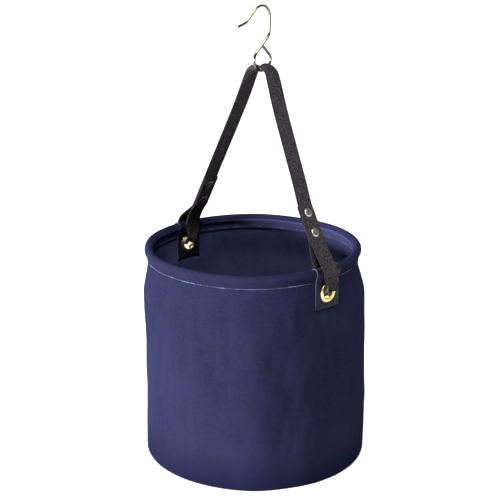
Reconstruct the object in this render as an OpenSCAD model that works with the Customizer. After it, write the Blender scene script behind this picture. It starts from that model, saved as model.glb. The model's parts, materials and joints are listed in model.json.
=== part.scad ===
// Round canvas tool bucket for hanging from a rail.
// A sewn canvas shell hangs from one webbing strap. Each end of the strap goes over the rolled rim,
// through a brass eyelet, and back up to itself, where two rivets hold it. A wire hook rides on the strap.
// +Z is up, the origin is the centre of the base, and the two eyelets lie on the X axis.

/* [Bucket] */
// Outer diameter over the rim roll
bucket_d = 300; // [290:1:320]
// Height to the top of the rim roll
bucket_h = 302; // [290:1:330]
// Thickness of the canvas
canvas_t = 1.5; // [1.2:0.1:1.6]
// Radius of the rim roll over its canvas
roll_r = 6; // [5.8:0.1:6.4]
// Height of the hem that is turned down inside
hem_h = 16; // [14:1:17]
// How much wider the base is than the wall under the rim, on the radius
wall_flare = 7.8; // [5:0.1:9]
// Radius of the turn from wall to base
base_turn_r = 5; // [5:1:9]
// Width of the lap where the wall's two ends are sewn
lap_w = 18; // [12:1:30]
// Angle of that lap round the bucket
lap_angle = 107; // [60:1:120]

/* [Base] */
// Thickness of the stiffening board in the base
board_t = 3; // [2:0.5:4]

/* [Rim hoop] */
// Wall of the plastic tube that holds the rim open
hoop_wall = 1.6; // [1.2:0.1:2]
// Length of the plug that joins the tube's two ends
joiner_l = 40; // [25:1:60]

/* [Eyelets] */
// Drop from the centre of the rim roll to the centre of an eyelet
eyelet_drop = 28; // [27:0.5:30]
// Radius of an eyelet's hole
eyelet_hole_r = 8; // [7.8:0.1:8.4]
// Outer radius of an eyelet's flange
eyelet_flange_r = 13.2; // [12:0.1:13.5]

/* [Reinforcing patches] */
// Width of a patch
patch_w = 41; // [34:1:50]
// Thickness of a patch
patch_t = 1.2; // [1:0.1:1.2]
// Height of a patch's lower edge under the centre of its eyelet
patch_drop = 21; // [16:1:30]

/* [Strap] */
// Width of the webbing
strap_w = 25; // [20:1:25]
// Thickness of the webbing
strap_t = 2.2; // [1.6:0.1:2.3]

// How far the upright strap leans back from its swing line, in degrees
handle_lean = 1.7; // [0:0.1:2]

/* [Rivets] */
// Radius of a rivet's cap
rivet_cap_r = 6; // [5:0.5:7]
// Radius of a rivet's shank
rivet_shank_r = 2; // [1.5:0.1:2.5]

/* [Hook] */
// Diameter of the hook's wire
wire_d = 4; // [3:0.5:4]
// Radius of the eye at the hook's foot, to the middle of the wire
eye_r = 14.6; // [14.4:0.1:15.5]

/* [Hidden] */
$fn = 96;

// Rim and wall, as radii from the bucket's axis and heights
rim_r = bucket_d / 2 - roll_r;
roll_z = bucket_h - roll_r;
hoop_r = roll_r - canvas_t - 0.1;
neck_out = rim_r + 2.2;
neck_in = neck_out - 2 * canvas_t - 0.2;
neck_z = roll_z - 11;
base_out = neck_out + wall_flare;
eyelet_z = roll_z - eyelet_drop;
patch_low = eyelet_z - patch_drop;
flare_top = patch_low - 6;
flare_low = flare_top - 45;
fit = 0.1;

// Faces that the eyelets clamp, at their own places on the X axis
patch_out = neck_out + 0.3;
patch_face = patch_out + patch_t;
inner_face = neck_out - canvas_t - 0.2;
patch_inner = inner_face - patch_t;
flange_t = 1.6;
flange_x = sqrt(pow(patch_face, 2) - pow(eyelet_flange_r, 2));
washer_t = 1;
washer_x = sqrt(pow(patch_inner, 2) - pow(eyelet_flange_r, 2)) - 0.05;
flare_t = 1.2;

// Swing line of the strap, parallel to X above the rim
swing_z = roll_z + 24;

// Straight legs of the strap, which meet at a point above the bend over the hook's eye
legs_x = 12.2;
legs_z = roll_z + 277;
left_lean = 28.2;
right_lean = 24.4;
bend_r = 22;
half_bend = (left_lean + right_lean) / 2;
bend_tilt = (left_lean - right_lean) / 2;
bend_x = legs_x - bend_r / sin(half_bend) * sin(bend_tilt);
bend_z = legs_z - bend_r / sin(half_bend) * cos(bend_tilt);
eye_z = bend_z + bend_r - strap_t / 2 - 0.3 - wire_d / 2 + eye_r;
curl_at_eye = 1 / (eye_r - wire_d / 2 - 0.3 - strap_t / 2);
hole_gap = 0.4;
curl_in_hole = 1 / (eyelet_hole_r - hole_gap - strap_t / 2);

// Rivets, as heights above the rim roll's centre
rivet_low = 48;
rivet_high = 72.5;
layer_gap = 0.3;
layer_step = strap_t + layer_gap;
lap_tail = 11;

canvas_blue = [0.10, 0.10, 0.24];
webbing_black = [0.06, 0.055, 0.06];
vinyl_black = [0.05, 0.05, 0.055];
brass_gold = [0.80, 0.66, 0.30];
zinc_steel = [0.72, 0.70, 0.60];
nickel = [0.80, 0.78, 0.72];
board_grey = [0.35, 0.35, 0.36];

// ---- Canvas shell ----

module roll_circle(r) translate([rim_r, roll_z]) circle(r = r);

// Section of the wall: a turned-in foot, the wall, the neck of two layers, and the roll round the hoop
module wall_section() {
    difference() {
        union() {
            polygon([
                [base_out - canvas_t, base_turn_r], [base_out, base_turn_r],
                [base_out, flare_low], [neck_out, flare_top],
                [neck_out, roll_z], [neck_out - canvas_t, roll_z],
                [neck_out - canvas_t, flare_top], [base_out - canvas_t, flare_low]
            ]);
            translate([neck_in, roll_z - hem_h]) square([neck_out - neck_in, hem_h]);
            roll_circle(roll_r);
        }
        roll_circle(roll_r - canvas_t);
    }
    translate([base_out - base_turn_r, base_turn_r]) intersection() {
        difference() {
            circle(r = base_turn_r);
            circle(r = base_turn_r - canvas_t);
        }
        translate([0, -base_turn_r]) square(base_turn_r);
    }
}

// Second layer where the wall's two ends lap, on the inside
module wall_lap() {
    lap_turn = lap_w / base_out * 180 / PI;
    low_z = base_turn_r + 3;
    high_z = roll_z - hem_h;
    near = canvas_t / 2;
    far = 2 * canvas_t;
    rotate([0, 0, lap_angle - lap_turn / 2]) rotate_extrude(angle = lap_turn)
        polygon([
            [base_out - far, low_z], [base_out - near, low_z],
            [base_out - near, flare_low], [neck_out - near, flare_top],
            [neck_out - near, high_z], [neck_out - far, high_z],
            [neck_out - far, flare_top], [base_out - far, flare_low]
        ]);
}

module canvas_wall() color(canvas_blue) difference() {
    union() {
        rotate_extrude() wall_section();
        wall_lap();
    }
    eyelet_drill(eyelet_hole_r + 1);
}

module eyelet_drill(r)
    translate([-bucket_d, 0, eyelet_z]) rotate([0, 90, 0]) cylinder(r = r, h = 2 * bucket_d);

module base_cloth() color(canvas_blue) cylinder(r = base_out - base_turn_r, h = canvas_t);

module base_board() color(board_grey)
    translate([0, 0, canvas_t]) cylinder(r = base_out - base_turn_r - 1, h = board_t);

module base_lining() color(canvas_blue)
    translate([0, 0, canvas_t + board_t + fit]) cylinder(r = base_out - canvas_t - 1, h = canvas_t);

// ---- Rim hoop ----

hoop_gap_angle = 0.4;

module rim_hoop() color(board_grey)
    rotate([0, 0, lap_angle]) rotate_extrude(angle = 360 - hoop_gap_angle) difference() {
        roll_circle(hoop_r);
        roll_circle(hoop_r - hoop_wall);
    }

module hoop_joiner() color(board_grey) {
    turn = joiner_l / rim_r * 180 / PI;
    rotate([0, 0, lap_angle - turn / 2]) rotate_extrude(angle = turn)
        roll_circle(hoop_r - hoop_wall - fit);
}

// ---- Reinforcing patches, folded over the rim ----

// Filled outline of the canvas at the rim, grown by the given amount. The patch is the skin between two of them.
module rim_outline(grow, low) {
    roll_circle(roll_r + fit / 2 + grow);
    polygon([
        [patch_out + grow, low], [patch_out + grow, neck_z - grow / 5],
        [rim_r + 5.75 + grow, roll_z - 2], [rim_r - 5.75 - grow, roll_z - 2],
        [neck_in - fit - grow, roll_z - hem_h], [inner_face - grow, roll_z - hem_h - 4],
        [inner_face - grow, low]
    ]);
}

module patch(side) color(vinyl_black) difference() {
    turn = patch_w / patch_out * 180 / PI;
    rotate([0, 0, (side > 0 ? 0 : 180) - turn / 2]) rotate_extrude(angle = turn) difference() {
        rim_outline(patch_t, patch_low);
        rim_outline(0, patch_low - 1);
    }
    eyelet_drill(eyelet_hole_r + 1);
    at_eyelet(side) {
        translate([0, 0, flange_x]) cylinder(r = eyelet_flange_r + 0.2, h = 5);
        translate([0, 0, washer_x - 6]) cylinder(r = eyelet_flange_r + 0.2, h = 6);
    }
}

// ---- Eyelets ----

// Puts a shape with its own axis along Z, from the bucket's axis, onto an eyelet's axis
module at_eyelet(side)
    translate([0, 0, eyelet_z]) rotate([0, side > 0 ? 90 : -90, 0]) children();

// Rolled ring section: a bar with round edges between two radii
module rolled_bar(r_in, r_out, low, thick) {
    edge = thick / 2;
    translate([r_in + edge, low]) square([r_out - r_in - thick, thick]);
    translate([r_in + edge, low + edge]) circle(r = edge);
    translate([r_out - edge, low + edge]) circle(r = edge);
}

module eyelet(side) color(brass_gold) at_eyelet(side) rotate_extrude() {
    rolled_bar(eyelet_hole_r, eyelet_flange_r, flange_x, flange_t);
    rolled_bar(eyelet_hole_r, eyelet_hole_r + 2.6, washer_x - washer_t - flare_t, flare_t);
    translate([eyelet_hole_r, washer_x - washer_t - flare_t / 2])
        square([0.9, flange_x + flange_t / 2 - washer_x + washer_t + flare_t / 2]);
}

module eyelet_washer(side) color(brass_gold)
    at_eyelet(side) rotate_extrude()
        rolled_bar(eyelet_hole_r + 1, eyelet_flange_r, washer_x - washer_t, washer_t);

// ---- Webbing ----
// A station is [x, z, curl, width]. The band's middle runs through the stations in the XZ plane, its width lies
// along Y, and curl is how sharply it is bent across its width, with its edges away from the inside of the run.

function mix4(a, b, c, d, t) = 0.5 * (2 * b + (c - a) * t + (2 * a - 5 * b + 4 * c - d) * t * t
    + (3 * b - 3 * c + d - a) * t * t * t);

function smooth(stations, steps) = let (last = len(stations) - 1) [
    for (i = [0 : last - 1], k = [0 : steps - 1])
        mix4(stations[max(i - 1, 0)], stations[i], stations[i + 1], stations[min(i + 2, last)], k / steps),
    stations[last]
];

function unit(v) = v / norm(v);

function run_of(rings, i) = let (a = rings[max(i - 1, 0)], b = rings[min(i + 1, len(rings) - 1)])
    unit([b[0] - a[0], b[1] - a[1]]);

// One point of the band: u from -0.5 to 0.5 across, side +1 on the outer face and -1 on the inner face
function band_point(ring, run, u, side) = let (
    out = [-run[1], run[0]],
    s = u * ring[3],
    bend = max(ring[2], 0.0005),
    a = s * bend * 180 / PI,
    lift = (1 - cos(a)) / bend + side * strap_t / 2 * cos(a),
    across = sin(a) / bend - side * strap_t / 2 * sin(a)
) [ring[0] + out[0] * lift, across, ring[1] + out[1] * lift];

module webbing(stations, steps = 4, parts = 8) {
    rings = smooth(stations, steps);
    per = 2 * (parts + 1);
    points = [
        for (i = [0 : len(rings) - 1]) let (run = run_of(rings, i)) each [
            for (k = [0 : parts]) band_point(rings[i], run, k / parts - 0.5, 1),
            for (k = [parts : -1 : 0]) band_point(rings[i], run, k / parts - 0.5, -1)
        ]
    ];
    sides = [
        for (i = [0 : len(rings) - 2], k = [0 : per - 1]) let (
            a = i * per + k, b = i * per + (k + 1) % per, c = b + per, d = a + per
        ) each [[a, b, c], [a, c, d]]
    ];
    first = [for (k = [0 : parts - 1]) let (m = per - 1 - k) each [[k, m, m - 1], [k, m - 1, k + 1]]];
    base = (len(rings) - 1) * per;
    last = [for (f = first) [base + f[0], base + f[2], base + f[1]]];
    polyhedron(points = points, faces = concat(sides, first, last), convexity = 6);
}

function at_rim(dx, dz, curl = 0, width = strap_w) = [rim_r + dx, roll_z + dz, curl, width];

// The right loop: down outside the rim, through the eyelet's hole from outside, and up inside
hole_h = roll_z - eyelet_z - eyelet_hole_r + hole_gap + strap_t / 2;
loop_stations = [
    at_rim(5.3, 7.5), at_rim(7.1, 4.8), at_rim(8.6, 0), at_rim(8.4, -6, 0.01),
    at_rim(7.6, -12, 0.05), at_rim(7.1, -17.5, 0.1, 22.5), at_rim(6.5, -hole_h + 1.2, 0.14, 21.5),
    at_rim(4.7, -hole_h, curl_in_hole, 21), at_rim(0.6, -hole_h, curl_in_hole, 21),
    at_rim(-3.5, -hole_h, curl_in_hole, 21), at_rim(-5.4, -hole_h + 1.2, 0.14, 21.5),
    at_rim(-6.2, -17.5, 0.1, 22.5), at_rim(-7.2, -12, 0.05), at_rim(-9, -5, 0.01),
    at_rim(-11, 1.5), at_rim(-13, 7.5)
];

module strap_loop(side) color(webbing_black) mirror([side > 0 ? 0 : 1, 0, 0]) webbing(loop_stations);

// Width of the rounded end that turns about the swing line
function end_width(z) = z >= swing_z ? strap_w
    : 2 * sqrt(max(pow(strap_w / 2, 2) - pow(swing_z - z, 2), 1));

function on_leg(side, z, curl = 0) = let (lean = side < 0 ? left_lean : right_lean)
    [legs_x + side * tan(lean) * (legs_z - z), z, curl, end_width(z)];
function on_bend(angle, curl) = [bend_x + bend_r * cos(angle), bend_z + bend_r * sin(angle), curl, strap_w];
function near_rim(side, dx, dz) = [side * (rim_r + dx), roll_z + dz, 0, end_width(roll_z + dz)];

// The two rivets' places on the strap's middle, low then high, and the lap's lean from vertical
left_low = on_leg(-1, roll_z + rivet_low);
left_high = on_leg(-1, roll_z + rivet_high);
right_low = near_rim(1, -23.7, rivet_low - 0.5);
right_high = near_rim(1, -38, rivet_high - 1);

// A place on the lap, from its low and high rivets: how far past one of them, and how many layers further in
function on_lap(low, high, from, along, layers = 0) = let (
    run = unit([high[0] - low[0], high[1] - low[1]]),
    side = low[0] < 0 ? -1 : 1,
    inward = [-side * run[1], side * run[0]] * layers * layer_step
) [from[0] + run[0] * along + inward[0], from[1] + run[1] * along + inward[1], 0, strap_w];

handle_stations = [
    near_rim(-1, 3, 12), near_rim(-1, 1.4, 14), near_rim(-1, -3.4, 18.6), near_rim(-1, -10.5, 24),
    near_rim(-1, -19.6, 30.4), near_rim(-1, -25, 35), on_lap(left_low, left_high, left_low, -11),
    on_lap(left_low, left_high, left_low, -7),
    left_low, left_high, on_lap(left_low, left_high, left_high, 13), on_leg(-1, roll_z + 150),
    on_leg(-1, roll_z + 200, 0.004), on_bend(180 - left_lean, 0.04), on_bend(120, 0.075),
    on_bend(90, curl_at_eye), on_bend(57, 0.075), on_bend(right_lean, 0.04),
    on_leg(1, roll_z + 200, 0.004), on_leg(1, roll_z + 150), on_leg(1, roll_z + 108),
    on_lap(right_low, right_high, right_high, 13), right_high, right_low,
    on_lap(right_low, right_high, right_low, -7), on_lap(right_low, right_high, right_low, -11),
    near_rim(1, -14.1, 32), near_rim(1, -8.4, 24.7), near_rim(1, -3.4, 18.6), near_rim(1, -0.1, 14),
    near_rim(1, 1.3, 12)
];

function tail_stations(side, low, high) = [
    near_rim(side, -14.5, 12), near_rim(side, -15.2, 14), near_rim(side, side < 0 ? -20.6 : -18.6, 24),
    on_lap(low, high, low, -9, 1.1), on_lap(low, high, low, -5, 1), on_lap(low, high, low, 0, 1),
    on_lap(low, high, high, 0, 1), on_lap(low, high, high, lap_tail, 1)
];

function reversed(list) = [for (i = [len(list) - 1 : -1 : 0]) list[i]];

// Turns the strap and what rides on it back about the swing line
module lean_back() translate([0, 0, swing_z]) rotate([-handle_lean, 0, 0]) translate([0, 0, -swing_z]) children();

// ---- Rivets ----

module at_rivet(low, high, place) {
    side = low[0] < 0 ? -1 : 1;
    lean = atan2(abs(high[0] - low[0]), high[1] - low[1]);
    translate([place[0], 0, place[1]]) rotate([0, side * (90 - lean), 0]) children();
}

module rivet_holes(low, high) for (place = [low, high]) at_rivet(low, high, place)
    translate([0, 0, -12]) cylinder(r = rivet_shank_r + 0.1, h = 24);

module cap(r, h) intersection() {
    dome = (r * r + h * h) / (2 * h);
    cylinder(r = r, h = h);
    translate([0, 0, h - dome]) sphere(r = dome);
}

module rivet_heads(low, high) color(nickel) lean_back() for (place = [low, high]) at_rivet(low, high, place) {
    translate([0, 0, strap_t / 2 + fit]) cap(rivet_cap_r, 1.7);
    translate([0, 0, -strap_t / 2 - layer_step - fit]) cylinder(r = rivet_shank_r, h = strap_t + layer_step + 1);
}

module rivet_backs(low, high) color(nickel) lean_back() for (place = [low, high]) at_rivet(low, high, place)
    translate([0, 0, -strap_t / 2 - layer_step - fit]) mirror([0, 0, 1]) cap(rivet_cap_r - 0.5, 1.3);

module handle_strap() color(webbing_black) lean_back() difference() {
    webbing(handle_stations);
    rivet_holes(left_low, left_high);
    rivet_holes(right_low, right_high);
}

module strap_end_left() color(webbing_black) lean_back() difference() {
    webbing(reversed(tail_stations(-1, left_low, left_high)));
    rivet_holes(left_low, left_high);
}

module strap_end_right() color(webbing_black) lean_back() difference() {
    webbing(tail_stations(1, right_low, right_high));
    rivet_holes(right_low, right_high);
}

// ---- Hook: one bent wire in the plane across the strap ----

// Each step of a wire is [straight length, turn to the left, bend radius], and the next step goes on from its end.
// A straight is a hair thinner than the bends and runs a little way into them, so that they join cleanly.
wire_dip = 0.4;

module wire(steps, i = 0) if (i < len(steps)) {
    length = steps[i][0];
    turn = steps[i][1];
    r = steps[i][2];
    hand = turn < 0 ? -1 : 1;
    after = turn != 0 ? wire_dip : 0;
    translate([-wire_dip, 0, 0]) rotate([0, 90, 0]) cylinder(d = wire_d - 0.1, h = length + wire_dip + after);
    if (turn != 0) translate([length, hand * r, 0]) {
        rotate([0, 0, turn < 0 ? 90 + turn : -90]) rotate_extrude(angle = abs(turn))
            translate([r, 0]) circle(d = wire_d);
        rotate([0, 0, turn]) translate([0, -hand * r, 0]) wire(steps, i + 1);
    }
}

stem_bend_r = 12;
top_r = 14.9;
stem_steps = [[25.7, 45, stem_bend_r], [19.4, 135, top_r], [20.5, -27, stem_bend_r], [14, 0, 0]];
eye_steps = [[0, 235, eye_r], [0, 35, 6], [17.2, 0, 0]];

module hook() color(zinc_steel) lean_back() translate([bend_x, 0, eye_z]) rotate([90, 0, 90])
    rotate([0, 0, 135]) translate([eye_r, 0, 0]) {
        $fn = 40;
        rotate([0, 0, -90]) wire(stem_steps);
        rotate([0, 0, 90]) wire(eye_steps);
    }

canvas_wall();
base_cloth();
base_board();
base_lining();
rim_hoop();
hoop_joiner();
patch(-1);  // patch_left
patch(1);  // patch_right
eyelet(-1);  // eyelet_left
eyelet(1);  // eyelet_right
eyelet_washer(-1);  // eyelet_washer_left
eyelet_washer(1);  // eyelet_washer_right
strap_loop(-1);  // strap_loop_left
strap_loop(1);  // strap_loop_right
handle_strap();
strap_end_left();
strap_end_right();
rivet_heads(left_low, left_high);  // rivet_heads_left
rivet_heads(right_low, right_high);  // rivet_heads_right
rivet_backs(left_low, left_high);  // rivet_backs_left
rivet_backs(right_low, right_high);  // rivet_backs_right
hook();
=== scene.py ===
"""Round canvas tool bucket, hung from one riveted webbing strap with a bent wire hook.

Lengths are in metres, +Z is up, the origin is the centre of the base and the eyelets lie on the X axis.
Angles round the bucket are measured from +X towards +Y.
"""

import json
import math

import bpy
import numpy as np
from mathutils import Matrix, Vector


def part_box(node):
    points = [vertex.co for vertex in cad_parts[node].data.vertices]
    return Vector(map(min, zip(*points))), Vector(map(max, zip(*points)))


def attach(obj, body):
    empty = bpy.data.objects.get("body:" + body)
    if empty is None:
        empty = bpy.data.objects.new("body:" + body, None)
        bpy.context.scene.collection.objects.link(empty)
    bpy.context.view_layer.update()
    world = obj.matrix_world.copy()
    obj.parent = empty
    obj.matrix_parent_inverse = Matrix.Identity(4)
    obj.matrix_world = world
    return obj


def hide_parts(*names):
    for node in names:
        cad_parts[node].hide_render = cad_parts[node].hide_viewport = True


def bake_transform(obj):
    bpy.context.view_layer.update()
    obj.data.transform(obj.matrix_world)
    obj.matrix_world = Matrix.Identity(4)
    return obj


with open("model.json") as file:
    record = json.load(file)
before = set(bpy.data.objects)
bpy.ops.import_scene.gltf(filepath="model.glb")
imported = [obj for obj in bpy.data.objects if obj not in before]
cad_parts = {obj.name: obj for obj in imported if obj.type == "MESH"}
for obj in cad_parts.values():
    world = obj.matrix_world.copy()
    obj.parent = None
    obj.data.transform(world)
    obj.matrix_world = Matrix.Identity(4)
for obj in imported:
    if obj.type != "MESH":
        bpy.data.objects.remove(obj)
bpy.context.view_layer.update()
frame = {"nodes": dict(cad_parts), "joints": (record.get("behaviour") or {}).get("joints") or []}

MM = 0.001
SIDES = {"left": -1, "right": 1}
rng = np.random.default_rng(7)


# ---------------------------------------------------------------- sizes, most of them from the frame


def middle(node):
    low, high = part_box(node)
    return (low + high) / 2


def extent(node):
    low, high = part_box(node)
    return high - low


HOOP_R = extent("rim_hoop").z / 2
ROLL_Z = middle("rim_hoop").z
RIM_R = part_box("rim_hoop")[1].x - HOOP_R
ROLL_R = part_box("canvas_wall")[1].z - ROLL_Z
CANVAS = extent("base_cloth").z
TURN_R = 5 * MM
BASE_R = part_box("base_cloth")[1].x + TURN_R
NECK_R = RIM_R + 2.2 * MM  # the wall's outside just under the roll
NECK_IN = NECK_R - 2 * CANVAS - 0.2 * MM
NECK_Z = ROLL_Z - 11 * MM
HEM_H = 16 * MM
LINING_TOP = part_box("base_lining")[1].z
LINING_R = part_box("base_lining")[1].x
EYELET_Z = middle("eyelet_right").z
FLANGE_R = extent("eyelet_right").z / 2
FLANGE_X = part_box("eyelet_right")[1].x
HOLE_R = 8 * MM
WASHER_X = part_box("eyelet_washer_right")[1].x
PATCH_OUT = NECK_R + 0.3 * MM
PATCH_W = 41 * MM
PATCH_T = 1.2 * MM
PATCH_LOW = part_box("patch_right")[0].z
FLARE_TOP = PATCH_LOW - 6 * MM
FLARE_LOW = FLARE_TOP - 45 * MM
STRAP_T = 2.2 * MM
STRAP_W = 25 * MM
SWING_Z = next(j["pos_m"][2] for j in frame["joints"] if j["name"] == "handle_swing")
HOOK_X, HOOK_Y, HOOK_Z = next(j["pos_m"] for j in frame["joints"] if j["name"] == "hook_swing")
LEAN_BACK = math.atan2(HOOK_Y, HOOK_Z - SWING_Z)
LAP_ANGLE = math.radians(107)
DRILL_R = HOLE_R + 1.2 * MM  # the cloth's own hole, clear of the eyelet's barrel
INSIDE_ROWS_PAST_CREST = 12  # rows of the wall's section from the roll's top to where the inner canvas starts
STITCH_PITCH = 3.6 * MM
STITCH_GAP = 1.0 * MM
THREAD_D = 0.65 * MM
STITCH_JITTER = 0.1
WIRE_STEP = 6  # degrees between two points of a bend in the wire


# ---------------------------------------------------------------- mesh helpers


def new_object(name, verts, faces, uvs=None, smooth=True):
    """A mesh object. uvs, when given, holds one (u, v) in metres for each corner of each face, in order."""
    mesh = bpy.data.meshes.new(name)
    mesh.from_pydata([tuple(v) for v in verts], [], [tuple(f) for f in faces])
    if uvs is not None:
        layer = mesh.uv_layers.new(name="cloth")
        layer.data.foreach_set("uv", np.asarray(uvs, np.float32).ravel())
    mesh.polygons.foreach_set("use_smooth", [smooth] * len(mesh.polygons))
    mesh.validate()
    obj = bpy.data.objects.new(name, mesh)
    bpy.context.scene.collection.objects.link(obj)
    return obj


def grid_faces(rows, columns, wrap_rows, wrap_columns):
    """Quads of a grid of points, and for each corner the row and column that its texture place comes from."""
    last_row = rows if wrap_rows else rows - 1
    last_column = columns if wrap_columns else columns - 1
    i, j = np.meshgrid(np.arange(last_row), np.arange(last_column), indexing="ij")
    i, j = i.ravel(), j.ravel()
    corner_i = np.stack([i, i, i + 1, i + 1], 1)
    corner_j = np.stack([j, j + 1, j + 1, j], 1)
    faces = (corner_i % rows) * columns + corner_j % columns
    return faces, corner_i, corner_j


def grid_object(name, points, wrap_rows=False, wrap_columns=False, places=None, caps=False, smooth=True):
    """A surface through a grid of points. places holds (u, v) per row and column, one more where it wraps."""
    points = np.asarray(points, float)
    rows, columns = points.shape[:2]
    faces, corner_i, corner_j = grid_faces(rows, columns, wrap_rows, wrap_columns)
    faces = faces.tolist()
    uvs = None
    if places is not None:
        uvs = np.asarray(places, float)[corner_i, corner_j].reshape(-1, 2).tolist()
    if caps:
        first = list(range(columns))
        last = [(rows - 1) * columns + k for k in range(columns)]
        for ring in (first[::-1], last):
            faces.append(ring)
            if uvs is not None:
                uvs += [uvs[0]] * columns
    return new_object(name, points.reshape(-1, 3), faces, uvs, smooth)


def joined(name, parts):
    """Several (vertices, faces) lists as one object."""
    verts, faces = [], []
    for part_verts, part_faces in parts:
        start = len(verts)
        verts += [tuple(v) for v in part_verts]
        faces += [tuple(start + k for k in f) for f in part_faces]
    return new_object(name, verts, faces)


def lathe(name, profile, segments=64, closed=True):
    """A turned shape about local Z from a list of (radius, height)."""
    turn = np.linspace(0, 2 * math.pi, segments, endpoint=False)
    points = [[(r * math.cos(t), r * math.sin(t), h) for t in turn] for r, h in profile]
    return grid_object(name, points, wrap_rows=closed, wrap_columns=True, caps=not closed)


def apply_modifier(obj, modifier):
    with bpy.context.temp_override(object=obj, active_object=obj, selected_objects=[obj]):
        bpy.ops.object.modifier_apply(modifier=modifier.name)


def drill(obj, cutters):
    for cutter in cutters:
        cut = obj.modifiers.new("hole", "BOOLEAN")
        cut.operation = "DIFFERENCE"
        cut.solver = "EXACT"
        cut.object = cutter
        apply_modifier(obj, cut)
    obj.data.polygons.foreach_set("use_smooth", [True] * len(obj.data.polygons))


def eyelet_cutters(radius):
    cutters = []
    for side in SIDES.values():
        turn = np.linspace(0, 2 * math.pi, 56, endpoint=False)
        rows = [
            [(side * x, radius * math.cos(t), EYELET_Z + radius * math.sin(t)) for t in turn]
            for x in (RIM_R - 25 * MM, RIM_R + 25 * MM)
        ]
        cutters.append(grid_object("cutter", rows, wrap_columns=True, caps=True, smooth=False))
        if side < 0:
            cutters[-1].data.flip_normals()
    return cutters


def remove(objects):
    for obj in objects:
        bpy.data.objects.remove(obj)


def smoothstep(x):
    x = np.clip(x, 0, 1)
    return x * x * (3 - 2 * x)


def bump_at(x, centre, width):
    return np.exp(-((x - centre) / width) ** 2)


def turn_from(angle, centre):
    """The difference of two angles, from -pi to pi."""
    return (angle - centre + math.pi) % (2 * math.pi) - math.pi


def catmull(stations, step):
    """Points along a smooth curve through the stations, about step apart, with all of the stations' columns.

    The first two columns are the place. Also gives each point's distance along the curve.
    """
    s = np.asarray(stations, float)
    padded = np.vstack([2 * s[0] - s[1], s, 2 * s[-1] - s[-2]])
    fine = []
    for k in range(1, len(padded) - 2):
        a, b, c, d = padded[k - 1 : k + 3]
        for t in np.linspace(0, 1, 24, endpoint=False):
            square, cube = 2 * a - 5 * b + 4 * c - d, 3 * b - 3 * c + d - a
            fine.append(0.5 * (2 * b + (c - a) * t + square * t**2 + cube * t**3))
    fine.append(s[-1])
    fine = np.array(fine)
    run = np.concatenate([[0], np.cumsum(np.linalg.norm(np.diff(fine[:, :2], axis=0), axis=1))])
    at = np.linspace(0, run[-1], max(2, int(run[-1] / step) + 1))
    return np.stack([np.interp(at, run, fine[:, k]) for k in range(fine.shape[1])], 1), at


# ---------------------------------------------------------------- shape of the canvas wall

FRONT = math.radians(-42)  # the side that the camera sees
BULGES = [
    # centre angle in degrees, centre height in m, half width in degrees, half height in m, depth in mm
    (-41, 0.130, 9, 0.120, 4.4),
    (-64, 0.140, 9, 0.110, -1.6),
    (-26, 0.140, 9, 0.110, -1.6),
    (-84, 0.140, 13, 0.110, -1.2),
    (-100, 0.155, 14, 0.075, -1.6),
    (-80, 0.190, 9, 0.050, 1.6),
    (-52, 0.120, 12, 0.090, 1.0),
    (-20, 0.090, 18, 0.060, -1.8),
    (-8, 0.200, 10, 0.040, -1.2),
    (25, 0.130, 20, 0.090, 2.0),
    (48, 0.278, 22, 0.012, -1.8),
    (75, 0.120, 22, 0.080, -1.6),
    (125, 0.160, 26, 0.090, 1.8),
    (160, 0.100, 15, 0.060, -1.8),
    (200, 0.170, 20, 0.080, -2.0),
    (228, 0.150, 24, 0.110, -2.2),
]


def calm(angle, z):
    """0 where the eyelets and patches hold the wall in its own shape, 1 away from them."""
    near = np.minimum(abs(turn_from(angle, 0)), abs(turn_from(angle, math.pi)))
    beside = smoothstep((near - math.radians(9.5)) / math.radians(14))
    below = smoothstep((PATCH_LOW - 4 * MM - z) / (60 * MM))
    return np.maximum(beside, below)


def wall_radius(z):
    return np.interp(z, [FLARE_LOW, FLARE_TOP], [BASE_R, NECK_R])


def sag(angle, z):
    """How far the cloth stands out from a true round, in metres."""
    height = np.clip(z / ROLL_Z, 0, 1)
    early = NECK_R + (BASE_R - NECK_R) * smoothstep((NECK_Z - 6 * MM - z) / (48 * MM)) - wall_radius(z)
    hang = np.sin(np.pi * height) ** 0.8
    out = 0.6 * hang * np.cos(angle - math.radians(48)) + 1.8 * np.clip(1 - height / 0.35, 0, 1)
    out = out + 1.6 * hang * np.cos(4 * (angle - FRONT))
    out = out + 0.5 * hang * np.cos(7 * angle + 9 * height)
    for at, centre, wide, tall, depth in BULGES:
        around = bump_at(turn_from(angle, math.radians(at)), 0, math.radians(wide))
        out = out + depth * around * bump_at(z, centre, tall)
    fine = 0.26 * np.sin(23 * angle + 60 * z) * hang + 0.15 * np.sin(41 * angle - 90 * z + 1) * hang
    fine = fine + 0.45 * np.sin(11 * angle - 55 * z + 2 * np.sin(3 * angle + 20 * z)) * hang
    edge = smoothstep((ROLL_Z - 9 * MM - z) / (12 * MM))
    pucker = 0.22 * np.sin(88 * angle + 1.5 * np.sin(5 * angle)) * bump_at(z, ROLL_Z - 15 * MM, 5 * MM)
    return ((out * edge + fine + pucker) * MM + np.maximum(early, 0)) * calm(angle, z)


def rim_wave(angle):
    """Rise and fall of the whole rim, and how far it stands out, in metres."""
    near = np.minimum(abs(turn_from(angle, 0)), abs(turn_from(angle, math.pi)))
    free = smoothstep((near - math.radians(9)) / math.radians(30))
    rise = (0.7 * np.sin(2 * angle + 0.6) + 0.4 * np.sin(5 * angle + 2)) * free
    out = (0.5 * np.sin(3 * angle + 1.1) + 0.2 * np.sin(9 * angle)) * free
    return rise * MM, out * MM


def arc(centre, radius, start, end, count):
    turn = np.radians(np.linspace(start, end, count))
    return [(centre[0] + radius * math.cos(t), centre[1] + radius * math.sin(t)) for t in turn]


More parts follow.
